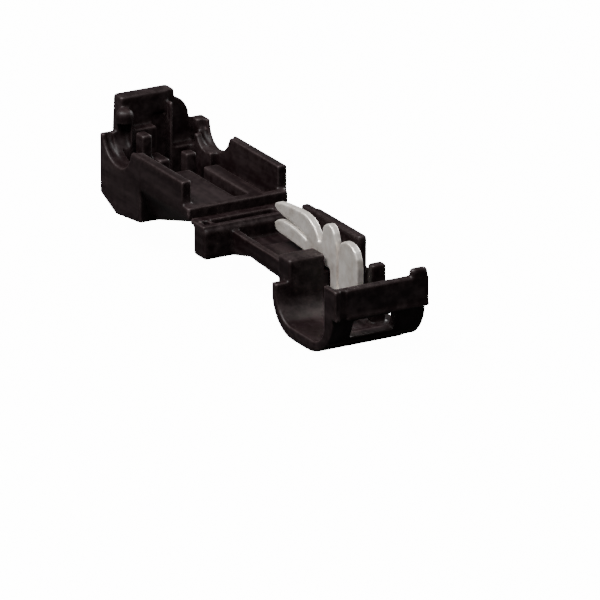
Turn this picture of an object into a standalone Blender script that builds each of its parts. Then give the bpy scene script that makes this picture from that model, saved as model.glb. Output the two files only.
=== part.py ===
"""T-tap wire connector, lying open: base, cover and one stamped contact.

The wire runs along X, the stem along Y, and +Z is up. The base lies on the
-Y side of the hinge and the cover on the +Y side. Sizes are millimetres in
the constants below and become metres through MM. Heights are measured from
the top of the hinge block, and lengths along Y from its rear face.
"""
import math

import bmesh
import bpy

MM = 0.001
CLEAR = 0.3             # running gap between the pieces
OVER = 1.0              # how far a cutter runs past what it cuts
LAP = 0.2               # how far joined shapes run into each other
NUDGE = 0.02            # keeps the faces of joined shapes apart
WELD = 0.00005          # merge distance, metres

# hinge block and living hinge
BLOCK_LEFT = 6.1        # from the middle of the connector to each end
BLOCK_RIGHT = 4.9
BLOCK_L = 2.6
BLOCK_H = 3.3
BLOCK_EDGE = 0.35
STRIP_T = 0.3
STRIP_REACH = 0.6       # past the rear face of the block
STRIP_LAND = 0.35       # bar left bare in front of the strip
SLIT_W = 7.4            # slit that lets the flat tab in
SLIT_L = 1.1
SLIT_REAR = 0.45        # strip left behind the slit
SLIT_DEEP = 0.7
EYE_W = 0.7             # small opening beside each end of the slit
EYE_GAP = 0.4
AXIS_Z = 1.3            # hinge axis above the block
ROOT_L = 3.8            # deep root of the tray, in front of the block
ROOT_DEEP = 3.2

# stem tray of the base
TRAY_LEFT = 2.9
TRAY_TOP = 0.45         # below the top of the block
TRAY_FALL = 0.25        # how far its rim drops towards the wire
TRAY_DEEP = 2.25
TRAY_SINK = 1.1         # how far its underside drops towards the wire
RAIL_T = 0.8
POCKET_L = 3.6
POCKET_DEEP = 1.75
FLOOR_DEEP = 1.15
SIDE_WALL_IN = 3.75     # inner face of the tall wall, from the centre
SIDE_WALL_T = 1.05
SIDE_WALL_TOP = 2.2
SIDE_WALL_REAR = 5.0
SIDE_WALL_LOW = 2.05    # top of its rear stretch
SIDE_WALL_STEP = 2.2    # length of that stretch
SIDE_WALL_FRONT = 1.15  # from the wire centre back to its front end
SHOULDER_L = 1.4        # low shoulder behind the tall wall
SHOULDER_TOP = 0.9

# wire cradle and lip of the base
WIRE_Y = 18.3           # centre of the wire behind the rear face of the block
CRADLE_W = 10.9
CRADLE_WALL = 1.0
CRADLE_REAR = 3.0       # from the wire centre back to the outer face
CRADLE_REAR_TOP = 1.6   # below the top of the block
CRADLE_DEEP = 6.6
CRADLE_FLOOR = 1.3
REAR_BEND_L = 4.2       # outer bend at the rear, along Y and Z
REAR_BEND_H = 4.1
REAR_INNER_L = 3.0
REAR_INNER_TOP = 2.6    # where the inner bend starts, below the block's top
FRONT_BEND_L = 5.3      # outer bend under the lip
FRONT_INNER_L = 2.6
FRONT_INNER_TOP = 3.0
LIP_OUT = 10.3          # from the wire centre to the lip's outer face
LIP_T = 2.6
LIP_TOP = 1.35
LIP_CREST = 1.15        # thickness of the lip's crest
LIP_SHELF = 1.15        # depth of the shelf behind the crest
LIP_END_T = 0.55        # full-thickness plate at the lip's left end
LIP_BAND = 1.9          # lower edge of the thick band, below the block top
LIP_STEP = 0.8
BEAD_OUT = 0.15         # bead along the band's lower edge
BEAD_H = 0.6
EAR_W = 2.0
EAR_RISE = 0.85
GROOVE_X = 4.5
GROOVE_W = 0.7
GROOVE_DEEP = 0.35
GROOVE_END = 1.6        # above the cradle's underside
FOOT_W = 9.65           # width of the cradle's underside, from its left end
FOOT_STEP = 0.9
WINDOW_W = 5.2
WINDOW_TOP = 2.35
WINDOW_H = 2.0

# housing that holds the contact
HOUSE_W = 3.9
HOUSE_L = 2.5
HOUSE_TOP = 0.7
HOUSE_FRONT = 1.9       # from the wire centre back to the face
POST_X = 3.15
POST_W = 1.7
POST_T = 1.1
POST_TOP = 0.95
POST_FRONT = 4.1        # from the wire centre to the front face

# contact
SEAT_DEEP = 0.1         # slot under the contact, let into the cradle's floor
SEAT_CORNER = 1.15      # slope at the slot's rear end, over the bend
PLATE_T = 0.8
PLATE_X = 0.5           # left face
PLATE_REAR = 5.3
PLATE_NECK = 3.8        # from the wire centre back to the notch
PLATE_SLOT = 0.5
PLATE_SLOT_DEEP = 2.9
PLATE_FRONT = 4.2       # from the wire centre to the front edge
PLATE_FOOT = 1.55       # rear end of the deep foot, from the wire centre
PLATE_EDGE = 0.15       # rolled edge left by the stamping
JAW_TOP = 3.55
REAR_TINE_TOP = 3.95
FRONT_TINE_TOP = 3.1

# cover
COVER_GAP = 0.9         # from the block to the rear end of the cover
COVER_W = 12.2
STEM_UNDER = -0.1       # outer face of the stem at its rear end
SIDE_UNDER = 0.2        # lower edge of the stem's straight sides
FLOOR_Z = 1.35
RIM_Z = 3.85
HEAD_RIM_Z = 4.0
WALL_SETBACK = 0.9
LEFT_SETBACK = 1.35     # the left wall starts further back
CORNER_CUT = 0.4        # cut from the rear right corner
WALL_T = 1.1
LEDGE_W = 0.8
LEDGE_Z = 2.15
LEDGE_REAR = 4.9
HEAD_BACK = 4.4         # head, from the wire centre to its rear and its front
HEAD_AHEAD = 4.4
HEAD_UNDER = -4.05
HEAD_LIFT = 0.6         # how much higher the head starts than it gets
HEAD_NARROW = 1.9       # how far the ramp draws in on each side
HEAD_CHAMFER_L = 3.4
HEAD_CHAMFER_H = 1.45
HEAD_SIDE = 0.03        # how far the head stands out past the stem
CAVITY_BACK = 0.6       # wall behind the head's hollow
SKIN = 0.35             # plastic left under the contact groove
DEPTH_SKIN = 1.2
FRONT_WALL_T = 1.2
GROOVE_SIDE = 0.4       # room on each side of the contact
NOTCH_R = 2.65          # wire notches in the side walls: depth
NOTCH_NEAR_LEFT = 2.65  # reach towards the hinge
NOTCH_NEAR_RIGHT = 3.2
NOTCH_FAR_LEFT = 3.4    # reach towards the tongue
NOTCH_FAR_RIGHT = 2.2
NOTCH_AHEAD = 0.3       # from the wire centre to the middle of a notch
NOTCH_FLARE = 0.8
NOTCH_SKIN = 0.45       # outer skin where the notch is wider inside
NOTCH_INNER = 0.5       # how much wider it is inside
BULGE_W = 6.6
BULGE_OUT = 3.9         # past the head's front
BULGE_TOP = 0.85
BULGE_UNDER = -3.12
TONGUE_W = 6.9
TONGUE_X = -0.35        # middle of the tongue
TONGUE_OUT = 1.8        # past the head's front
TONGUE_T = 1.9
TONGUE_TOP = 7.4
TONGUE_DRAFT = 0.25
NOSE_OUT = 0.5
NOSE_LOW = 5.0
NOSE_H = 1.3
NOSE_W = 4.6
GUSSET_X = 4.6          # right end of the gusset
GUSSET_TOP = 6.65
GUSSET_T = 2.0
BOSS_R = 0.95
BOSS_IN = 0.3           # its axis, from the tongue's left side
BOSS_OUT = 0.6          # and in front of the tongue
BOSS_TOP = 6.3
COLLAR_T = 0.8
COLLAR_TOP = 2.7
PUSHER_W = 1.3
PUSHER_L = 2.8
PUSHER_TOP = 1.6
PUSHER_GAP = 0.5
PILLAR_W = 1.2
PILLAR_L = 1.7
PILLAR_GAP = 1.9
PILLAR_TOP = 4.1
RELIEF_TOP = 5.0        # top of the room for the contact's front edge

# places that follow from the sizes above
LIP_FRONT = WIRE_Y + LIP_OUT
WIRE_IN_COVER = WIRE_Y - BLOCK_L
HEAD_START = WIRE_IN_COVER - HEAD_BACK
HEAD_FRONT = WIRE_IN_COVER + HEAD_AHEAD
CAVITY_START = HEAD_START + CAVITY_BACK
BULGE_FRONT = HEAD_FRONT + BULGE_OUT
TONGUE_FAR = HEAD_FRONT + TONGUE_OUT
INNER = COVER_W / 2 - WALL_T
FLOOR_IN = -CRADLE_DEEP + CRADLE_FLOOR
GROOVE_L = PLATE_X - GROOVE_SIDE
GROOVE_R = PLATE_X + PLATE_T + GROOVE_SIDE

# where the model's origin lies: under the middle of the open part
Y0 = (LIP_FRONT - BULGE_FRONT) / 2
Z0 = CRADLE_DEEP
AXIS_Y = -BLOCK_L / 2

NYLON = (0.018, 0.015, 0.014, 1.0)
TIN = (0.62, 0.62, 0.60, 1.0)

parts = bpy.data.collections.new("t_tap_connector")
tools = bpy.data.collections.new("cutters")


def clearScene():
    for item in list(bpy.data.objects):
        bpy.data.objects.remove(item, do_unlink=True)
    for group in (parts, tools):
        bpy.context.scene.collection.children.link(group)


def place(x, y, z):
    """A point in metres from millimetres in the block's own frame."""
    return (x * MM, (y + Y0) * MM, (z + Z0) * MM)


def newObject(name, mesh, group):
    item = bpy.data.objects.new(name, mesh)
    group.objects.link(item)
    if group is tools:
        item.hide_render = True
        item.display_type = "WIRE"
    return item


def fromBmesh(name, bm, group=tools):
    """An object of flat triangles that face out, ready to be joined or cut."""
    bmesh.ops.triangulate(bm, faces=bm.faces)
    bmesh.ops.recalc_face_normals(bm, faces=bm.faces)
    if bm.calc_volume(signed=True) < 0:
        bmesh.ops.reverse_faces(bm, faces=bm.faces)
    mesh = bpy.data.meshes.new(name)
    bm.to_mesh(mesh)
    bm.free()
    return newObject(name, mesh, group)


def box(name, xs, ys, zs, edge=0.0, steps=2, group=tools):
    """A box between two values on each axis, with its edges rounded."""
    bm = bmesh.new()
    bmesh.ops.create_cube(bm, size=1.0)
    low = place(min(xs), min(ys), min(zs))
    high = place(max(xs), max(ys), max(zs))
    for vert in bm.verts:
        for axis in range(3):
            vert.co[axis] = high[axis] if vert.co[axis] > 0 else low[axis]
    if edge > 0:
        bmesh.ops.bevel(bm, geom=bm.edges[:], offset=edge * MM, segments=steps,
                        profile=0.5, affect="EDGES", clamp_overlap=True)
    return fromBmesh(name, bm, group)


def prism(name, outline, span, edge=0.0, group=tools, along="x"):
    """A closed outline of (y, z) points drawn out along X, or of (x, z) along Y."""
    curve = bpy.data.curves.new(name, "CURVE")
    curve.dimensions = "2D"
    curve.fill_mode = "BOTH"
    curve.extrude = abs(span[1] - span[0]) / 2 * MM
    line = curve.splines.new("POLY")
    line.points.add(len(outline) - 1)
    for point, (a, b) in zip(line.points, outline):
        point.co = (a * MM, b * MM, 0.0, 1.0)
    line.use_cyclic_u = True
    drawn = bpy.data.objects.new(name + "_outline", curve)
    tools.objects.link(drawn)
    bpy.context.view_layer.update()
    held = drawn.evaluated_get(bpy.context.evaluated_depsgraph_get())
    mesh = bpy.data.meshes.new_from_object(held)
    bpy.data.objects.remove(drawn, do_unlink=True)
    bm = bmesh.new()
    bm.from_mesh(mesh)
    bpy.data.meshes.remove(mesh)
    bmesh.ops.remove_doubles(bm, verts=bm.verts, dist=WELD / 10)
    middle = (span[0] + span[1]) / 2
    axis = 0 if along == "x" else 1
    for vert in bm.verts:
        a, b, out = vert.co
        if along == "x":
            vert.co = (out + middle * MM, a + Y0 * MM, b + Z0 * MM)
        else:
            vert.co = (a, out + (middle + Y0) * MM, b + Z0 * MM)
    bmesh.ops.dissolve_limit(bm, angle_limit=0.001, verts=bm.verts, edges=bm.edges)
    if edge > 0:
        rims = [e for e in bm.edges if len({round(v.co[axis], 6) for v in e.verts}) == 1]
        bmesh.ops.bevel(bm, geom=rims, offset=edge * MM, segments=2, profile=0.5,
                        affect="EDGES", clamp_overlap=True)
    return fromBmesh(name, bm, group)


def rod(name, radius, centre, low, high, dome=0.0, sides=24):
    """An upright round post at (x, y), its top edge rounded."""
    bm = bmesh.new()
    bmesh.ops.create_cone(bm, cap_ends=True, segments=sides, radius1=radius * MM,
                          radius2=radius * MM, depth=(high - low) * MM)
    if dome > 0:
        top = [e for e in bm.edges if all(v.co.z > 0 for v in e.verts)]
        bmesh.ops.bevel(bm, geom=top, offset=dome * MM, segments=4, profile=0.5,
                        affect="EDGES", clamp_overlap=True)
    bmesh.ops.translate(bm, verts=bm.verts, vec=place(centre[0], centre[1], (low + high) / 2))
    return fromBmesh(name, bm)


def tapered(name, rear, front, middle=0.0, edge=0.0):
    """A block between two upright sections: (y, top z, half top, low z, half low)."""
    bm = bmesh.new()
    bmesh.ops.create_cube(bm, size=1.0)
    for vert in bm.verts:
        y, topZ, topHalf, lowZ, lowHalf = front if vert.co.y > 0 else rear
        z, half = (topZ, topHalf) if vert.co.z > 0 else (lowZ, lowHalf)
        vert.co = place(middle + math.copysign(half, vert.co.x), y, z)
    if edge > 0:
        bmesh.ops.bevel(bm, geom=bm.edges[:], offset=edge * MM, segments=3, profile=0.5,
                        affect="EDGES", clamp_overlap=True)
    return fromBmesh(name, bm)


def combine(target, tool, how):
    """One Boolean step. EXACT opens the surface at the eyes, nose and notches."""
    step = target.modifiers.new(tool.name, "BOOLEAN")
    step.operation = how
    step.solver = "MANIFOLD"
    step.object = tool


def add(target, *shapes):
    for shape in shapes:
        combine(target, shape, "UNION")


def cut(target, *shapes):
    for shape in shapes:
        combine(target, shape, "DIFFERENCE")


def arc(centre, radii, start, end, steps):
    """Points of an elliptical arc, both ends included, angles in degrees."""
    points = []
    for i in range(steps + 1):
        angle = math.radians(start + (end - start) * i / steps)
        points.append((centre[0] + radii[0] * math.cos(angle),
                       centre[1] + radii[1] * math.sin(angle)))
    return points


def material(name, colour, rough, metal):
    made = bpy.data.materials.new(name)
    made.use_nodes = True
    shader = made.node_tree.nodes["Principled BSDF"]
    shader.inputs["Base Color"].default_value = colour
    shader.inputs["Roughness"].default_value = rough
    shader.inputs["Metallic"].default_value = metal
    made.diffuse_color = colour
    return made


def buildHinge(base):
    """Living hinge on top of the block, with the slit for the flat tab."""
    add(base, box("strip", (NUDGE - BLOCK_LEFT, BLOCK_RIGHT - NUDGE),
                  (STRIP_LAND - BLOCK_L, STRIP_REACH), (-LAP, STRIP_T)))
    middle = (BLOCK_RIGHT - BLOCK_LEFT) / 2
    ys = (-SLIT_REAR - SLIT_L, -SLIT_REAR)
    zs = (-SLIT_DEEP, STRIP_T + OVER)
    cut(base, box("slit", (middle - SLIT_W / 2, middle + SLIT_W / 2), ys, zs))
    eye = SLIT_W / 2 + EYE_GAP
    cut(base, box("eye_left", (middle - eye - EYE_W, middle - eye), ys, zs))
    cut(base, box("eye_right", (middle + eye, middle + eye + EYE_W), ys, zs))


def trayOutline():
    front = -(WIRE_Y - CRADLE_REAR + LAP)
    rear = -BLOCK_L + LAP
    return [(rear, -TRAY_TOP), (front, -TRAY_TOP - TRAY_FALL),
            (front, -TRAY_DEEP - TRAY_SINK), (front + HOUSE_L, -TRAY_DEEP - TRAY_SINK / 3),
            (rear - ROOT_L, -TRAY_DEEP), (rear - ROOT_L / 2, -(TRAY_DEEP + ROOT_DEEP) / 2),
            (rear, -ROOT_DEEP)]


def buildTray(base):
    """Stem channel: left rail, floor, rear pocket and the tall right wall."""
    wallOut = SIDE_WALL_IN + SIDE_WALL_T
    add(base, prism("tray", trayOutline(), (-TRAY_LEFT, wallOut - NUDGE)))
    wallX = (SIDE_WALL_IN, wallOut)
    wallFoot = -TRAY_DEEP + LAP
    step = -SIDE_WALL_REAR - SIDE_WALL_STEP
    add(base, box("side_wall", wallX, (-WIRE_Y + SIDE_WALL_FRONT, step),
                  (wallFoot, SIDE_WALL_TOP), edge=0.3))
    add(base, box("side_wall_rear", (SIDE_WALL_IN + NUDGE, wallOut - NUDGE),
                  (step - LAP * 2, -SIDE_WALL_REAR), (wallFoot + NUDGE, SIDE_WALL_LOW), edge=0.3))
    add(base, box("side_shoulder", (SIDE_WALL_IN + 2 * NUDGE, wallOut - 2 * NUDGE),
                  (-SIDE_WALL_REAR - LAP * 2, -SIDE_WALL_REAR + SHOULDER_L),
                  (wallFoot + 2 * NUDGE, SHOULDER_TOP), edge=0.3))
    rearWall = -WIRE_Y + CRADLE_REAR + CRADLE_WALL
    inner = (-TRAY_LEFT + RAIL_T, SIDE_WALL_IN - NUDGE)
    pocketEnd = -BLOCK_L - POCKET_L
    cut(base, box("pocket", inner, (-BLOCK_L, pocketEnd - LAP), (-POCKET_DEEP, OVER)))
    cut(base, box("channel", (inner[0] - NUDGE, inner[1] + NUDGE / 2), (pocketEnd, rearWall),
                  (-FLOOR_DEEP, SIDE_WALL_TOP + OVER)))


def cradleOutline():
    """Section of the cradle and lip across the wire, in (y, z)."""
    rear = -WIRE_Y + CRADLE_REAR
    front = -LIP_FRONT
    low = -CRADLE_DEEP
    inRear = rear - CRADLE_WALL
    inFront = front + LIP_T
    under = front + LIP_STEP + FRONT_BEND_L
    points = [(rear, -CRADLE_REAR_TOP)]
    points += arc((rear - REAR_BEND_L, low + REAR_BEND_H), (REAR_BEND_L, REAR_BEND_H), 0, -90, 9)
    points += arc((under, -LIP_BAND), (FRONT_BEND_L, CRADLE_DEEP - LIP_BAND), -90, -180, 12)
    points += [(front + BEAD_OUT / 2, -LIP_BAND), (front, -LIP_BAND + BEAD_OUT / 2),
               (front, -LIP_BAND + BEAD_H / 2), (front + BEAD_OUT, -LIP_BAND + BEAD_H),
               (front + BEAD_OUT, LIP_TOP - BEAD_OUT), (front + 2 * BEAD_OUT, LIP_TOP),
               (inFront, LIP_TOP)]
    points += arc((inFront + FRONT_INNER_L, -FRONT_INNER_TOP),
                  (FRONT_INNER_L, -FRONT_INNER_TOP - FLOOR_IN), 180, 270, 8)
    points += arc((inRear - REAR_INNER_L, -REAR_INNER_TOP),
                  (REAR_INNER_L, -REAR_INNER_TOP - FLOOR_IN), 270, 360, 8)
    points += [(inRear, -CRADLE_REAR_TOP)]
    return points


def buildCradle(base):
    """Half-round cradle under the wire, the lip in front and its window."""
    half = CRADLE_W / 2
    add(base, prism("cradle", cradleOutline(), (-half, half), edge=0.25))
    front = -LIP_FRONT
    inFront = front + LIP_T
    crest = front + LIP_CREST
    cut(base, box("shelf", (LIP_END_T - half, half + OVER), (crest, inFront + OVER),
                  (LIP_TOP - LIP_SHELF, LIP_TOP + OVER)))
    add(base, box("ear", (half - EAR_W, half - NUDGE), (front + BEAD_OUT + NUDGE, crest - NUDGE),
                  (LIP_TOP - LIP_SHELF / 2, LIP_TOP + EAR_RISE), edge=0.45, steps=4))
    cut(base, box("front_groove", (-GROOVE_X - GROOVE_W / 2, -GROOVE_X + GROOVE_W / 2),
                  (front - OVER, front + GROOVE_DEEP),
                  (-CRADLE_DEEP + GROOVE_END, LIP_TOP + OVER)))
    cut(base, box("foot_step", (FOOT_W - half, half + OVER), (front - OVER, 0),
                  (-CRADLE_DEEP - OVER, -CRADLE_DEEP + FOOT_STEP)))
    cut(base, box("window", (TONGUE_X - WINDOW_W / 2, TONGUE_X + WINDOW_W / 2),
                  (front - OVER, inFront + OVER),
                  (-WINDOW_TOP - WINDOW_H, -WINDOW_TOP), edge=0.25))


def buildHousing(base):
    """Wall behind the wire that holds the contact, and the wire post."""
    face = -WIRE_Y + HOUSE_FRONT
    add(base, box("housing", (-HOUSE_W, HOUSE_W), (face, face + HOUSE_L),
                  (NUDGE - TRAY_DEEP - TRAY_SINK, HOUSE_TOP), edge=0.25))
    postFront = -WIRE_Y - POST_FRONT
    add(base, box("post", (POST_X - POST_W / 2, POST_X + POST_W / 2),
                  (postFront, postFront + POST_T), (FLOOR_IN - LAP, POST_TOP), edge=0.25))
    slot = (PLATE_X - CLEAR, PLATE_X + PLATE_T + CLEAR)
    footRear = -WIRE_Y + PLATE_FOOT + CLEAR
    seatFront = -WIRE_Y - PLATE_FRONT - CLEAR
    low = FLOOR_IN - SEAT_DEEP
    seat = [(seatFront, HOUSE_TOP + OVER), (seatFront, low), (footRear - SEAT_CORNER, low),
            (footRear, low + SEAT_CORNER), (footRear, HOUSE_TOP + OVER)]
    cut(base, prism("contact_seat", seat, slot))
    cut(base, box("contact_slot", (slot[0] + NUDGE, slot[1] - NUDGE),
                  (footRear - LAP, face + HOUSE_L + OVER),
                  (-FLOOR_DEEP + NUDGE, HOUSE_TOP + OVER)))


def buildBase(plastic):
    """Lower half: hinge block, stem tray, wire cradle, lip and housing."""
    base = box("base", (-BLOCK_LEFT, BLOCK_RIGHT), (-BLOCK_L, 0), (-BLOCK_H, 0),
               edge=BLOCK_EDGE, group=parts)
    buildTray(base)
    buildCradle(base)
    buildHousing(base)
    buildHinge(base)
    base.data.materials.append(plastic)
    return base


def contactOutline():
    """Outline of the stamped plate: jaw for the tab, two tines for the wire."""
    rear = -PLATE_REAR
    wire = -WIRE_Y
    neck = wire + PLATE_NECK
    reach = rear - neck
    slotRear = wire + PLATE_SLOT / 2
    slotFront = wire - PLATE_SLOT / 2
    front = wire - PLATE_FRONT
    foot = FLOOR_IN - SEAT_DEEP + CLEAR
    footRear = wire + PLATE_FOOT
    floor = -FLOOR_DEEP + CLEAR
    # each finger: share of the jaw's reach from the tip, height as a share of its top
    upper = [(0.74, 0.29), (0.66, 0.385), (0.55, 0.455), (0.42, 0.49), (0.28, 0.515),
             (0.16, 0.55), (0.07, 0.6), (0.02, 0.66), (0.0, 0.73), (0.03, 0.82), (0.08, 0.87),
             (0.22, 0.935), (0.44, 0.985), (0.66, 1.0), (0.79, 0.93), (0.89, 0.79), (0.96, 0.58)]
    points = [(rear - reach * share, JAW_TOP * rise) for share, rise in upper]
    points += [(neck, JAW_TOP * 0.4), (neck - PLATE_SLOT, JAW_TOP * 0.45)]
    # rear tine, front tine: shares of the tine's length from the slot, and of its height
    rearL = PLATE_NECK - PLATE_SLOT * 1.5
    tine = [(0.93, 0.7), (0.86, 0.84), (0.7, 0.95), (0.5, 1.0), (0.29, 0.95), (0.13, 0.8),
            (0.04, 0.6)]
    points += [(slotRear + rearL * share, REAR_TINE_TOP * rise) for share, rise in tine]
    bottom = -PLATE_SLOT_DEEP
    points += [(slotRear, 0.0), (slotRear, bottom + PLATE_SLOT / 2), (wire, bottom),
               (slotFront, bottom + PLATE_SLOT / 2), (slotFront, FRONT_TINE_TOP * 0.5)]
    frontL = PLATE_FRONT - PLATE_SLOT / 2
    tine = [(0.04, 0.72), (0.14, 0.88), (0.3, 0.98), (0.48, 1.0), (0.68, 0.95), (0.84, 0.82),
            (0.95, 0.58), (1.0, 0.25)]
    points += [(slotFront - frontL * share, FRONT_TINE_TOP * rise) for share, rise in tine]
    footFront = front + PLATE_FRONT * 0.26
    points += [(front, foot * 0.16), (front + PLATE_FRONT * 0.07, foot * 0.4),
               (front + PLATE_FRONT * 0.16, foot * 0.65), (footFront, foot * 0.92),
               (footFront + PLATE_FRONT * 0.06, foot), (footRear - SEAT_CORNER, foot),
               (footRear, foot + SEAT_CORNER), (footRear, floor)]
    # underside and top of the lower finger
    lower = [(0.9, 1.0), (0.8, 0.8), (0.68, 0.6), (0.55, 0.47), (0.4, 0.36), (0.26, 0.26),
             (0.14, 0.2), (0.06, 0.08)]
    points += [(rear - reach * share, floor * rise) for share, rise in lower]
    lower = [(0.02, 0.06), (0.0, 0.15), (0.02, 0.25), (0.07, 0.33), (0.16, 0.385), (0.28, 0.405),
             (0.42, 0.385), (0.55, 0.34), (0.66, 0.28), (0.74, 0.22)]
    points += [(rear - reach * share, JAW_TOP * rise) for share, rise in lower]
    return points


def buildContact(metal):
    """One flat plate, standing in the housing's slot."""
    plate = prism("contact", contactOutline(), (PLATE_X, PLATE_X + PLATE_T),
                  edge=PLATE_EDGE, group=parts)
    plate.data.materials.append(metal)
    return plate


def rampZ(y):
    """Outer face of the stem's ramp at a distance y behind the block."""
    share = (y - COVER_GAP) / (HEAD_START - COVER_GAP)
    return STEM_UNDER + (HEAD_UNDER + HEAD_LIFT - STEM_UNDER) * min(max(share, 0.0), 1.0)


def closedY(y):
    """Where a point of the base at y lies along the open cover."""
    return -BLOCK_L - y


def buildShell():
    """Outer form of the cover: stem ramp, head and front bulge."""
    half = COVER_W / 2
    cover = box("cover", (-half, half), (COVER_GAP, HEAD_FRONT), (SIDE_UNDER, RIM_Z),
                edge=0.25, group=parts)
    top = SIDE_UNDER + LAP
    add(cover, tapered("ramp", (COVER_GAP, top, half - NUDGE, STEM_UNDER, half - LAP),
                       (HEAD_START + LAP, top, half - NUDGE, HEAD_UNDER + HEAD_LIFT + NUDGE,
                        half - HEAD_NARROW)))
    front = HEAD_FRONT + NUDGE
    outline = [(HEAD_START, RIM_Z - LAP), (HEAD_START, HEAD_UNDER + HEAD_LIFT),
               (HEAD_FRONT - HEAD_CHAMFER_L, HEAD_UNDER),
               (front, HEAD_UNDER + HEAD_CHAMFER_H),
               (front, HEAD_RIM_Z), (HEAD_FRONT - WALL_T, HEAD_RIM_Z)]
    add(cover, prism("head", outline, (-half - HEAD_SIDE, half + HEAD_SIDE), edge=0.35))
    bulge = BULGE_W / 2
    add(cover, box("bulge", (-bulge, bulge), (HEAD_FRONT - BULGE_OUT, BULGE_FRONT),
                   (BULGE_UNDER, BULGE_TOP), edge=0.7, steps=4))
    return cover


def buildTongue(cover):
    """Latch tongue at the far end, with its nose, gusset and inner boss."""
    half = TONGUE_W / 2
    near = TONGUE_FAR - TONGUE_T
    low = BULGE_TOP - 1.3
    sections = [(y, TONGUE_TOP, half - TONGUE_DRAFT, low, half + TONGUE_DRAFT / 2)
                for y in (near, TONGUE_FAR)]
    add(cover, tapered("tongue", sections[0], sections[1], TONGUE_X, edge=0.3))
    nose = [(TONGUE_FAR - LAP, NOSE_LOW), (TONGUE_FAR + NOSE_OUT, NOSE_LOW + NOSE_H * 0.3),
            (TONGUE_FAR + NOSE_OUT, NOSE_LOW + NOSE_H * 0.5), (TONGUE_FAR - LAP, NOSE_LOW + NOSE_H)]
    add(cover, prism("nose", nose, (TONGUE_X - NOSE_W / 2, TONGUE_X + NOSE_W / 2)))
    tongueR = TONGUE_X + half - TONGUE_DRAFT
    drop = GUSSET_TOP - HEAD_RIM_Z
    left = GROOVE_R + NUDGE
    side = [(left, low), (left, GUSSET_TOP - drop * 0.2), (tongueR - LAP * 2, GUSSET_TOP)]
    side += arc((tongueR - LAP * 2, HEAD_RIM_Z), (GUSSET_X - tongueR + LAP * 2, drop * 0.92),
                75, 0, 6)
    side += [(GUSSET_X, low)]
    inWall = HEAD_FRONT - FRONT_WALL_T + NUDGE
    add(cover, prism("gusset", side, (inWall, inWall + GUSSET_T), edge=0.2, along="y"))
    boss = rod("boss", BOSS_R, (TONGUE_X - half + BOSS_IN, near - BOSS_OUT),
               HEAD_UNDER + DEPTH_SKIN - LAP, BOSS_TOP, dome=0.6)
    add(cover, boss)


def buildCavity(cover):
    """Hollow of the stem and head, with the grooves for the contact and wall."""
    half = COVER_W / 2
    rearWall = COVER_GAP + WALL_SETBACK
    cut(cover, box("rear_step", (-half - OVER, half + OVER), (COVER_GAP - OVER, rearWall),
                   (FLOOR_Z, RIM_Z + OVER)))
    cut(cover, box("left_step", (-half - OVER, NUDGE - INNER),
                   (COVER_GAP - OVER, COVER_GAP + LEFT_SETBACK),
                   (FLOOR_Z + NUDGE, RIM_Z + OVER)))
    cut(cover, box("rear_corner", (half - CORNER_CUT, half + OVER), (COVER_GAP - OVER, rearWall),
                   (HEAD_UNDER, RIM_Z + OVER)))
    stemEnd = CAVITY_START + LAP
    cut(cover, box("ledge_cut", (-INNER, INNER), (COVER_GAP - OVER, stemEnd),
                   (LEDGE_Z, RIM_Z + OVER)))
    cut(cover, box("floor_cut", (-INNER + LEDGE_W, INNER - NUDGE),
                   (COVER_GAP - OVER, stemEnd + LAP / 2), (FLOOR_Z, LEDGE_Z + LAP)))
    cut(cover, box("floor_rear", (NUDGE - INNER, 0), (COVER_GAP - OVER, LEDGE_REAR),
                   (FLOOR_Z + NUDGE / 2, LEDGE_Z + LAP)))
    pocketRear = closedY(-SIDE_WALL_REAR) - CLEAR * 1.5
    cut(cover, box("side_pocket", (SIDE_WALL_IN - CLEAR, INNER - 2 * NUDGE),
                   (pocketRear, stemEnd + LAP), (2 * AXIS_Z - SIDE_WALL_TOP - CLEAR * 1.5, LEDGE_Z)))
    grooveRear = closedY(-PLATE_REAR) - GROOVE_SIDE
    deepest = rampZ(HEAD_START) + SKIN
    low = [(grooveRear, rampZ(grooveRear) + SKIN), (HEAD_START, deepest),
           (HEAD_START + OVER, deepest), (HEAD_START + OVER, LEDGE_Z), (grooveRear, LEDGE_Z)]
    cut(cover, prism("contact_groove", low, (GROOVE_L, GROOVE_R)))
    cut(cover, box("head_cavity", (1.5 * NUDGE - INNER, INNER - 1.5 * NUDGE),
                   (CAVITY_START, HEAD_FRONT - FRONT_WALL_T),
                   (HEAD_UNDER + DEPTH_SKIN, HEAD_RIM_Z + OVER), edge=0.3))


def notchOutline(near, far, wider=0.0):
    """Round mouth for the wire, flared at the rear of its rim."""
    middle = WIRE_IN_COVER + NOTCH_AHEAD
    points = [(middle - near - wider - NOTCH_FLARE, HEAD_RIM_Z + NOTCH_FLARE)]
    points += arc((middle, HEAD_RIM_Z), (near + wider, NOTCH_R), 195, 270, 9)
    points += arc((middle, HEAD_RIM_Z), (far + wider, NOTCH_R), 280, 360, 8)
    points += [(middle + far + wider, HEAD_RIM_Z + NOTCH_FLARE)]
    return points


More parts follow.
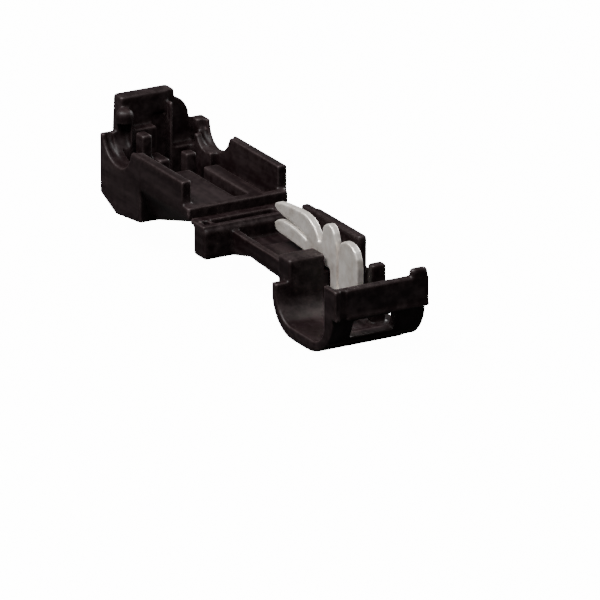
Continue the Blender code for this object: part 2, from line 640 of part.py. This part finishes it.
def buildNotches(cover):
    """Collars beside the wire and the notches through the side walls."""
    deep = HEAD_UNDER + DEPTH_SKIN - LAP
    half = COVER_W / 2
    collarRear = closedY(-WIRE_Y + SIDE_WALL_FRONT) + CLEAR
    for side, name, near, far in ((-1, "left", NOTCH_NEAR_LEFT, NOTCH_FAR_LEFT),
                                  (1, "right", NOTCH_NEAR_RIGHT, NOTCH_FAR_RIGHT)):
        add(cover, box("collar_" + name, (side * (INNER - COLLAR_T), side * (INNER + LAP)),
                       (collarRear, HEAD_FRONT - FRONT_WALL_T + LAP), (deep, COLLAR_TOP)))
        through = sorted((side * (INNER - COLLAR_T - OVER), side * (half + OVER)))
        cut(cover, prism("notch_" + name, notchOutline(near, far), through))
        inside = sorted((side * (INNER - LAP / 2), side * (half - NOTCH_SKIN)))
        cut(cover, prism("notch_inner_" + name, notchOutline(near, far, NOTCH_INNER), inside))


def buildWireSeat(cover):
    """Pushers that press the wire into the contact, and the pillar beside them."""
    deep = HEAD_UNDER + DEPTH_SKIN - LAP
    middle = WIRE_IN_COVER + NOTCH_AHEAD
    left = GROOVE_L - PUSHER_GAP
    add(cover, box("pusher_left", (left - PUSHER_W, left),
                   (middle - PUSHER_L / 3, middle + PUSHER_L * 2 / 3),
                   (deep, PUSHER_TOP), edge=0.2))
    add(cover, box("pusher_right", (GROOVE_R + NUDGE, GROOVE_R + PUSHER_W),
                   (middle - PUSHER_L / 6, middle + PUSHER_L / 3), (deep, PUSHER_TOP), edge=0.2))
    pillarX = GROOVE_L - PILLAR_GAP
    pillarEnd = middle + PUSHER_L * 2 / 3 + LAP
    add(cover, box("pillar", (pillarX - PILLAR_W, pillarX), (pillarEnd - PILLAR_L, pillarEnd),
                   (deep, PILLAR_TOP), edge=0.25))


def buildRelief(cover):
    """Room in the front wall and tongue for the contact and the wire post."""
    cut(cover, box("contact_relief", (GROOVE_L, GROOVE_R),
                   (HEAD_FRONT - FRONT_WALL_T - OVER, closedY(-WIRE_Y - PLATE_FRONT) + CLEAR),
                   (HEAD_UNDER + DEPTH_SKIN, RELIEF_TOP)))
    post = -WIRE_Y - POST_FRONT
    cut(cover, box("post_relief", (POST_X - POST_W / 2 - CLEAR, GUSSET_X + CLEAR / 2),
                   (closedY(post + POST_T) - CLEAR, closedY(post) + CLEAR),
                   (2 * AXIS_Z - POST_TOP - CLEAR, TONGUE_TOP + OVER)))


def buildCover(plastic):
    """Upper half, lying open on its back."""
    cover = buildShell()
    buildCavity(cover)
    buildTongue(cover)
    buildWireSeat(cover)
    buildNotches(cover)
    buildRelief(cover)
    cover.data.materials.append(plastic)
    return cover


def putOriginOnAxis(item):
    """Moves an object's origin to the hinge axis and leaves its shape in place."""
    x, y, z = place(0, AXIS_Y, AXIS_Z)
    for vert in item.data.vertices:
        vert.co.x -= x
        vert.co.y -= y
        vert.co.z -= z
    item.location = (x, y, z)


def main():
    clearScene()
    blackBase = material("black_nylon_base", NYLON, 0.45, 0.0)
    blackCover = material("black_nylon_cover", NYLON, 0.45, 0.0)
    tinPlate = material("tin_plate", TIN, 0.38, 1.0)
    buildBase(blackBase)
    putOriginOnAxis(buildCover(blackCover))
    buildContact(tinPlate)
    bpy.context.view_layer.update()


main()
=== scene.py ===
import math

import bmesh
import bpy
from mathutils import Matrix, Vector


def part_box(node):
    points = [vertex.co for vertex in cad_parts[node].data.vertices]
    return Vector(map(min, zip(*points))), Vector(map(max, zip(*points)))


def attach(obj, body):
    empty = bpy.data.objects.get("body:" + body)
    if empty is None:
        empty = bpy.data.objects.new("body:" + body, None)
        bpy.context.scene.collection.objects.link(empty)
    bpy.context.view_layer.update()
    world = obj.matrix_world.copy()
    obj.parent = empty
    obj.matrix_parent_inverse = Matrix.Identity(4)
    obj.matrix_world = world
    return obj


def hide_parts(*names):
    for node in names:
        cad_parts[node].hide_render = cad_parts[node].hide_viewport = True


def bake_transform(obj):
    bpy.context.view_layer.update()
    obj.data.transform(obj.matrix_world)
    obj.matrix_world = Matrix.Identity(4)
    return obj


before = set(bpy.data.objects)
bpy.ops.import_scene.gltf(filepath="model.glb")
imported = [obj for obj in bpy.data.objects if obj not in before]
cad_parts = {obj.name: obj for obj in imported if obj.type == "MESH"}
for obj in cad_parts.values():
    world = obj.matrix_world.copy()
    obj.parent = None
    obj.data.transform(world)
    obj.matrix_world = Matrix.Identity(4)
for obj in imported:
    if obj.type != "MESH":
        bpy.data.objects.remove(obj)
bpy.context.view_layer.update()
mm = 0.001
noiseLow, noiseHigh = 0.3, 0.7  # where a noise texture's values mostly lie
colorA, colorB, colorOut = 6, 7, 2  # the color sockets of a Mix node
print("frame loaded")


def newMaterial(name):
    made = bpy.data.materials.new(name)
    made.use_nodes = True
    return made, made.node_tree, made.node_tree.nodes["Principled BSDF"]


def newObject(name, mesh):
    made = bpy.data.objects.new(name, mesh)
    bpy.context.scene.collection.objects.link(made)
    return made


def addNode(tree, kind, **values):
    node = tree.nodes.new(kind)
    for key, value in values.items():
        setattr(node, key, value)
    return node


# plain numbers and colors on a node's sockets, by the socket's name without its spaces
def fill(node, **values):
    for key, value in values.items():
        for socket in node.inputs:
            if socket.name.replace(" ", "") == key and socket.enabled:
                socket.default_value = value
    return node


def addSocket(group, side, label, kind, value=None):
    socket = group.interface.new_socket(label, in_out=side, socket_type="NodeSocket" + kind)
    if value is not None:
        socket.default_value = value


edgeLook = {
    "low": 0.51,  # pointiness where an edge starts to show
    "high": 0.59,  # and where it shows in full
}


# edges of a piece, for the lighter patches on the nylon's edges and the painted highlight on
# the tin's rims
def makeEdgeMask(look):
    group = bpy.data.node_groups.new("edgeMask", "ShaderNodeTree")
    addSocket(group, "INPUT", "Low", "Float", look["low"])
    addSocket(group, "INPUT", "High", "Float", look["high"])
    addSocket(group, "OUTPUT", "Mask", "Float")
    start = group.nodes.new("NodeGroupInput")
    end = group.nodes.new("NodeGroupOutput")
    shape = group.nodes.new("ShaderNodeNewGeometry")
    edge = group.nodes.new("ShaderNodeMapRange")
    group.links.new(shape.outputs["Pointiness"], edge.inputs["Value"])
    group.links.new(start.outputs["Low"], edge.inputs["From Min"])
    group.links.new(start.outputs["High"], edge.inputs["From Max"])
    group.links.new(edge.outputs["Result"], end.inputs["Mask"])
    return group


skinLook = {
    "mottleScale": 1500.0,  # patches per metre
    "flowScale": (900.0, 90.0, 900.0),  # lines left by the mould, drawn out along the stem
    "edgeLeast": 0.35,  # how much pale tone an edge takes where the mottle is darkest
    "mottleShare": 0.8,  # of the haze, beside the flow lines
    "hazeLow": 0.78,
    "hazeHigh": 1.15,
    "hazeMost": 0.24,
    "smoother": -0.07,  # change of roughness from patch to patch
    "rougher": 0.09,
    "grainShare": 0.45,  # of the height, beside the flow lines
}


# both nylon mouldings: mottle, edges lighter in patches, fine spark grain
def makeMouldedSkin(look):
    group = bpy.data.node_groups.new("mouldedSkin", "ShaderNodeTree")
    addSocket(group, "INPUT", "Dark", "Color", (0.005, 0.002, 0.002, 1))
    addSocket(group, "INPUT", "Worn", "Color", (0.066, 0.047, 0.048, 1))
    addSocket(group, "INPUT", "Grain", "Float", 5200.0)
    addSocket(group, "INPUT", "Rough", "Float", 0.45)
    addSocket(group, "INPUT", "Edge", "Float", 0.0)
    addSocket(group, "OUTPUT", "Color", "Color")
    addSocket(group, "OUTPUT", "Roughness", "Float")
    addSocket(group, "OUTPUT", "Height", "Float")
    link = group.links.new
    start = group.nodes.new("NodeGroupInput")
    end = group.nodes.new("NodeGroupOutput")
    coord = group.nodes.new("ShaderNodeTexCoord")
    mottle = fill(addNode(group, "ShaderNodeTexNoise"), Scale=look["mottleScale"], Detail=5.0,
                  Roughness=0.65)
    link(coord.outputs["Object"], mottle.inputs["Vector"])
    grain = fill(addNode(group, "ShaderNodeTexNoise"), Detail=2.0, Roughness=0.5)
    link(coord.outputs["Object"], grain.inputs["Vector"])
    link(start.outputs["Grain"], grain.inputs["Scale"])
    stretch = fill(addNode(group, "ShaderNodeMapping"), Scale=look["flowScale"])
    link(coord.outputs["Object"], stretch.inputs["Vector"])
    flow = fill(addNode(group, "ShaderNodeTexNoise"), Scale=1.0, Detail=3.0)
    link(stretch.outputs["Vector"], flow.inputs["Vector"])

    # color: lighter in patches along the edges, and a faint haze elsewhere
    spread = fill(addNode(group, "ShaderNodeMapRange"), FromMin=noiseLow, FromMax=noiseHigh,
                  ToMin=look["edgeLeast"])
    link(mottle.outputs["Fac"], spread.inputs["Value"])
    patchy = addNode(group, "ShaderNodeMath", operation="MULTIPLY")
    link(start.outputs["Edge"], patchy.inputs[0])
    link(spread.outputs["Result"], patchy.inputs[1])
    blend = addNode(group, "ShaderNodeMath", operation="MULTIPLY_ADD")
    link(mottle.outputs["Fac"], blend.inputs[0])
    blend.inputs[1].default_value = look["mottleShare"]
    link(flow.outputs["Fac"], blend.inputs[2])
    haze = fill(addNode(group, "ShaderNodeMapRange"), FromMin=look["hazeLow"],
                FromMax=look["hazeHigh"], ToMax=look["hazeMost"])
    link(blend.outputs[0], haze.inputs["Value"])
    paleShare = addNode(group, "ShaderNodeMath", operation="MAXIMUM")
    link(patchy.outputs[0], paleShare.inputs[0])
    link(haze.outputs["Result"], paleShare.inputs[1])
    tone = addNode(group, "ShaderNodeMix", data_type="RGBA")
    link(paleShare.outputs[0], tone.inputs["Factor"])
    link(start.outputs["Dark"], tone.inputs[colorA])
    link(start.outputs["Worn"], tone.inputs[colorB])
    link(tone.outputs[colorOut], end.inputs["Color"])

    lift = fill(addNode(group, "ShaderNodeMapRange"), FromMin=noiseLow, FromMax=noiseHigh,
                ToMin=look["smoother"], ToMax=look["rougher"])
    link(mottle.outputs["Fac"], lift.inputs["Value"])
    rough = addNode(group, "ShaderNodeMath", operation="ADD", use_clamp=True)
    link(start.outputs["Rough"], rough.inputs[0])
    link(lift.outputs["Result"], rough.inputs[1])
    link(rough.outputs[0], end.inputs["Roughness"])

    height = addNode(group, "ShaderNodeMath", operation="MULTIPLY_ADD")
    link(grain.outputs["Fac"], height.inputs[0])
    height.inputs[1].default_value = look["grainShare"]
    link(flow.outputs["Fac"], height.inputs[2])
    link(height.outputs[0], end.inputs["Height"])
    return group


edgeMask = makeEdgeMask(edgeLook)
mouldedSkin = makeMouldedSkin(skinLook)
print("shared groups made")


def makeNylon(name, look):
    made, tree, shader = newMaterial(name)
    link = tree.links.new
    edge = addNode(tree, "ShaderNodeGroup", node_tree=edgeMask)
    skin = addNode(tree, "ShaderNodeGroup", node_tree=mouldedSkin)
    fill(skin, Dark=look["dark"], Worn=look["worn"], Grain=look["grain"], Rough=look["rough"])
    link(edge.outputs["Mask"], skin.inputs["Edge"])
    link(skin.outputs["Color"], shader.inputs["Base Color"])
    link(skin.outputs["Roughness"], shader.inputs["Roughness"])
    shader.inputs["Specular IOR Level"].default_value = look["sheen"]
    bump = fill(addNode(tree, "ShaderNodeBump"), Strength=look["bump"],
                Distance=look["bumpDepth"] * mm)
    link(skin.outputs["Height"], bump.inputs["Height"])
    link(bump.outputs["Normal"], shader.inputs["Normal"])
    return made


def makeTin(look):
    made, tree, shader = newMaterial("tinPlate")
    link = tree.links.new
    coord = tree.nodes.new("ShaderNodeTexCoord")
    cloud = fill(addNode(tree, "ShaderNodeTexNoise"), Scale=look["cloudScale"], Detail=4.0)
    link(coord.outputs["Object"], cloud.inputs["Vector"])
    stretch = fill(addNode(tree, "ShaderNodeMapping"), Scale=look["streakScale"])
    link(coord.outputs["Object"], stretch.inputs["Vector"])
    streak = fill(addNode(tree, "ShaderNodeTexNoise"), Scale=1.0, Detail=2.0)
    link(stretch.outputs["Vector"], streak.inputs["Vector"])

    spread = fill(addNode(tree, "ShaderNodeMapRange"), FromMin=noiseLow, FromMax=noiseHigh)
    link(cloud.outputs["Fac"], spread.inputs["Value"])
    tone = addNode(tree, "ShaderNodeMix", data_type="RGBA")
    link(spread.outputs["Result"], tone.inputs["Factor"])
    tone.inputs[colorA].default_value = look["dull"]
    tone.inputs[colorB].default_value = look["bright"]
    edge = fill(addNode(tree, "ShaderNodeGroup", node_tree=edgeMask), Low=look["rimLow"],
                High=look["rimHigh"])
    # painted highlight: the rims take a near-white colour, as where light catches them
    rimHighlightMix = addNode(tree, "ShaderNodeMix", data_type="RGBA")
    link(edge.outputs["Mask"], rimHighlightMix.inputs["Factor"])
    link(tone.outputs[colorOut], rimHighlightMix.inputs[colorA])
    rimHighlightMix.inputs[colorB].default_value = look["rim"]
    link(rimHighlightMix.outputs[colorOut], shader.inputs["Base Color"])

    rough = fill(addNode(tree, "ShaderNodeMapRange"), FromMin=noiseLow, FromMax=noiseHigh,
                 ToMin=look["smoothest"], ToMax=look["roughest"])
    link(streak.outputs["Fac"], rough.inputs["Value"])
    link(rough.outputs["Result"], shader.inputs["Roughness"])
    shader.inputs["Metallic"].default_value = look["metal"]
    bump = fill(addNode(tree, "ShaderNodeBump"), Strength=look["bump"],
                Distance=look["bumpDepth"] * mm)
    link(streak.outputs["Fac"], bump.inputs["Height"])
    link(bump.outputs["Normal"], shader.inputs["Normal"])
    return made


# a CAD node's copy with its doubles merged, remeshed evenly and its edges eased
def softCopy(nodeName, pieceName, look):
    bm = bmesh.new()
    bm.from_mesh(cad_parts[nodeName].data)
    bmesh.ops.remove_doubles(bm, verts=bm.verts, dist=0.002 * mm)
    bmesh.ops.recalc_face_normals(bm, faces=bm.faces)
    mesh = bpy.data.meshes.new(pieceName + "Rough")
    bm.to_mesh(mesh)
    bm.free()
    rough = newObject(pieceName + "Rough", mesh)
    even = rough.modifiers.new("even", "REMESH")
    even.mode = "VOXEL"
    even.voxel_size = look["voxel"] * mm
    ease = rough.modifiers.new("ease", "SMOOTH")
    ease.factor = 0.5
    ease.iterations = look["easing"]
    bpy.context.view_layer.update()
    eased = rough.evaluated_get(bpy.context.evaluated_depsgraph_get())
    done = bpy.data.meshes.new_from_object(eased)
    bpy.data.objects.remove(rough)
    done.name = pieceName
    done.materials.clear()
    low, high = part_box(nodeName)
    for vert in done.vertices:  # nothing stands outside the CAD node's box
        for axis in range(3):
            vert.co[axis] = min(max(vert.co[axis], low[axis]), high[axis])
    for polygon in done.polygons:
        polygon.use_smooth = True
    print(pieceName, len(done.polygons), "faces")
    return newObject(pieceName, done)


baseLook = {
    "voxel": 0.13,  # millimetres
    "easing": 5,  # smoothing steps, more makes rounder edges
    "dark": (0.0052, 0.0019, 0.0023, 1),
    "worn": (0.066, 0.047, 0.048, 1),
    "grain": 5200.0,  # grains per metre
    "rough": 0.42,
    "sheen": 0.2,
    "bump": 0.35,
    "bumpDepth": 0.02,  # millimetres
}
baseShell = softCopy("base", "baseShell", baseLook)
baseShell.data.materials.append(makeNylon("baseNylon", baseLook))
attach(baseShell, "base")
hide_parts("base")
print("base made")

coverLook = {
    "voxel": 0.14,
    "easing": 5,
    "dark": (0.0056, 0.0021, 0.0025, 1),
    "worn": (0.066, 0.047, 0.048, 1),
    "grain": 5200.0,
    "rough": 0.46,
    "sheen": 0.2,
    "bump": 0.4,
    "bumpDepth": 0.02,
}
coverShell = softCopy("cover", "coverShell", coverLook)
coverShell.data.materials.append(makeNylon("coverNylon", coverLook))
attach(coverShell, "cover")
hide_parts("cover")
print("cover made")

contactLook = {
    "voxel": 0.07,
    "easing": 22,
    "dull": (0.68, 0.62, 0.555, 1),
    "bright": (1.0, 0.95, 0.89, 1),
    "cloudScale": 700.0,  # clouds per metre
    "rim": (1.0, 0.985, 0.96, 1),  # painted highlight: the plate's rims near white, as if lit
    "rimLow": 0.53,
    "rimHigh": 0.57,
    "streakScale": (6000.0, 700.0, 6000.0),  # drawn out along the plate
    "smoothest": 0.31,
    "roughest": 0.45,
    "metal": 0.66,
    "bump": 0.1,
    "bumpDepth": 0.015,
}
contactPlate = softCopy("contact", "contactPlate", contactLook)
contactPlate.data.materials.append(makeTin(contactLook))
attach(contactPlate, "base")
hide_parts("contact")
print("contact made")

# thin web between the hinge strip and the cover, made as a flat sheet
webLook = {
    "left": -5.7,  # millimetres, as all but the last two
    "right": 4.8,
    "rear": 3.45,
    "front": 1.9,
    "under": 6.63,
    "thick": 0.22,
    "across": 12,
    "along": 18,
}


def makeHingeWeb(look):
    wide = look["right"] - look["left"]
    deep = look["rear"] - look["front"]
    bm = bmesh.new()
    bmesh.ops.create_grid(bm, x_segments=look["across"], y_segments=look["along"], size=0.5)
    for vert in bm.verts:
        vert.co.x = (look["left"] + (vert.co.x + 0.5) * wide) * mm
        vert.co.y = (look["front"] + (vert.co.y + 0.5) * deep) * mm
        vert.co.z = (look["under"] + look["thick"]) * mm
    sheet = bm.faces[:] + bm.edges[:] + bm.verts[:]
    bmesh.ops.solidify(bm, geom=sheet, thickness=look["thick"] * mm)
    bmesh.ops.recalc_face_normals(bm, faces=bm.faces)
    for face in bm.faces:
        face.smooth = abs(face.normal.z) > 0.9  # the rim stays flat
    mesh = bpy.data.meshes.new("hingeWeb")
    bm.to_mesh(mesh)
    bm.free()
    return newObject("hingeWeb", mesh)


hingeWeb = makeHingeWeb(webLook)
hingeWeb.data.materials.append(baseShell.data.materials[0])
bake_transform(hingeWeb)
print("hinge web made")

stageLook = {
    "floorColor": (0.45, 0.455, 0.445, 1),
    "floorTint": (0.995, 1, 0.985, 1),
    "floorGlow": 14.0,
    "floorBounce": (0.04, 0.04, 0.04, 1),  # what the floor throws back on the part
    "floorHalf": 3.0,  # metres
    "floorDrop": 0.1,  # millimetres under the part
    "fibreScale": 400.0,
    "sky": 0.12,
    "lamps": (  # name, place and size in metres, power in watts
        ("key", (-0.20, 0.05, 0.32), 0.22, 2.5),
        ("fill", (-0.06, -0.19, 0.40), 0.2, 1.45),
        ("back", (0.28, 0.10, 0.09), 0.2, 1.1),  # low, for the sides turned away from the key
    ),
}


def makeFloor(look):
    bm = bmesh.new()
    bmesh.ops.create_grid(bm, x_segments=2, y_segments=2, size=look["floorHalf"])
    bmesh.ops.translate(bm, verts=bm.verts, vec=(0, 0, -look["floorDrop"] * mm))
    mesh = bpy.data.meshes.new("floor")
    bm.to_mesh(mesh)
    bm.free()
    floor = newObject("floor", mesh)
    paper, tree, shader = newMaterial("floorPaper")
    link = tree.links.new
    coord = tree.nodes.new("ShaderNodeTexCoord")
    fibre = fill(addNode(tree, "ShaderNodeTexNoise"), Scale=look["fibreScale"], Detail=3.0)
    link(coord.outputs["Object"], fibre.inputs["Vector"])
    rough = fill(addNode(tree, "ShaderNodeMapRange"), ToMin=0.88, ToMax=0.98)
    link(fibre.outputs["Fac"], rough.inputs["Value"])
    link(rough.outputs["Result"], shader.inputs["Roughness"])
    shader.inputs["Base Color"].default_value = look["floorColor"]
    shader.inputs["Specular IOR Level"].default_value = 0.1
    shader.inputs["Emission Color"].default_value = look["floorTint"]
    shader.inputs["Emission Strength"].default_value = look["floorGlow"]
    # the camera sees glowing paper, the part only a dim floor, so its underside stays dark
    dim = addNode(tree, "ShaderNodeBsdfDiffuse")
    dim.inputs["Color"].default_value = look["floorBounce"]
    path = addNode(tree, "ShaderNodeLightPath")
    pick = addNode(tree, "ShaderNodeMixShader")
    link(path.outputs["Is Camera Ray"], pick.inputs[0])
    link(dim.outputs[0], pick.inputs[1])
    link(shader.outputs[0], pick.inputs[2])
    link(pick.outputs[0], tree.nodes["Material Output"].inputs["Surface"])
    floor.data.materials.append(paper)


def makeSky(look):
    sky = bpy.data.worlds.new("studio")
    bpy.context.scene.world = sky
    sky.use_nodes = True
    back = sky.node_tree.nodes["Background"]
    back.inputs["Color"].default_value = (1, 1, 1, 1)
    back.inputs["Strength"].default_value = look["sky"]


def areaLight(name, spot, size, power):
    data = bpy.data.lights.new(name, "AREA")
    data.shape = "DISK"
    data.size = size
    data.energy = power
    lamp = newObject(name, data)
    lamp.location = spot
    lamp.rotation_euler = (-Vector(spot)).to_track_quat("-Z", "Y").to_euler()


makeFloor(stageLook)
makeSky(stageLook)
for lamp in stageLook["lamps"]:
    areaLight(*lamp)
print("floor and lights set")

cameraLook = {
    "azimuth": 29.5,
    "elevation": 20.0,
    "distance": 0.9,  # metres
    "picture": 600,  # pixels wide and high
    "pixelsPerMm": 9.7,
    "originX": 255.4,  # where the model's origin falls in the picture
    "originY": 281.2,
    "sensor": 36,
}


def makeCamera(look):
    azimuth = math.radians(look["azimuth"])
    elevation = math.radians(look["elevation"])
    away = Vector((-math.sin(azimuth) * math.cos(elevation),
                   -math.cos(azimuth) * math.cos(elevation), math.sin(elevation)))
    right = Vector((math.cos(azimuth), -math.sin(azimuth), 0))
    up = right.cross(-away)
    pixel = mm / look["pixelsPerMm"]
    middle = look["picture"] / 2
    data = bpy.data.cameras.new("camera")
    data.sensor_width = look["sensor"]
    data.lens = look["sensor"] * look["distance"] / (look["picture"] * pixel)
    data.clip_start = 0.01
    data.clip_end = 10
    camera = newObject("camera", data)
    aim = (right * (middle - look["originX"]) - up * (middle - look["originY"])) * pixel
    camera.location = aim + away * look["distance"]
    camera.rotation_euler = (-away).to_track_quat("-Z", "Y").to_euler()
    bpy.context.scene.camera = camera


makeCamera(cameraLook)
print("camera set")
